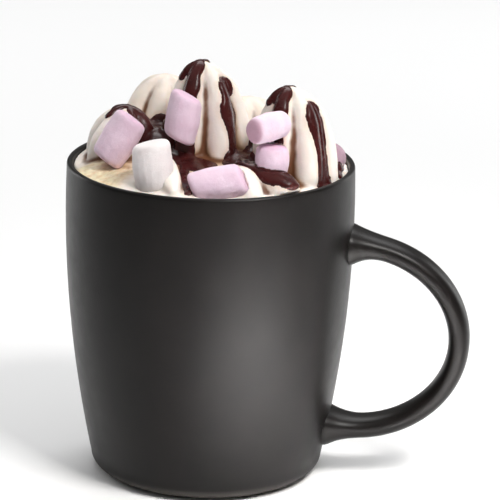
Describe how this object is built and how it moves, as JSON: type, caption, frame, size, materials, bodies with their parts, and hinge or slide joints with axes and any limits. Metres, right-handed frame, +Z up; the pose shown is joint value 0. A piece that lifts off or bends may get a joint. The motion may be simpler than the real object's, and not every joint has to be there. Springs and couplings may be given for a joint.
{
  "type": "mug of hot chocolate",
  "caption": "Black stoneware mug with a loop handle, full of hot chocolate and heaped with piped whipped cream, chocolate sauce and mini marshmallows.",
  "frame": {"origin": "on the surface the mug stands on, under the middle of the box round mug and handle; the mug's own axis is at X = -0.0178 m", "axes": "+Z up, +X from the mug's axis towards its handle, -Y towards someone who sees the handle on the right"},
  "size_m": [0.1212, 0.0856, 0.1261],
  "materials": {
    "stoneware": "satin black glaze",
    "drink": "wet brown liquid",
    "cream": "soft whipped cream, with glossy dark sauce on it",
    "pink_marshmallow": "dry, powdery and soft",
    "white_marshmallow": "dry, powdery and soft"
  },
  "bodies": {
    "root": {"cup": "stoneware", "drink": "drink", "cream": "cream", "marshmallow_white_front": "white_marshmallow", "marshmallow_left": "pink_marshmallow", "marshmallow_on_peak": "pink_marshmallow", "marshmallow_front": "pink_marshmallow", "marshmallow_upper_right": "pink_marshmallow", "marshmallow_lower_right": "pink_marshmallow", "marshmallow_right_rim": "pink_marshmallow", "marshmallow_middle_back": "pink_marshmallow", "marshmallow_back_left": "white_marshmallow", "marshmallow_back": "pink_marshmallow", "marshmallow_back_right": "white_marshmallow"}
  },
  "joints": []
}
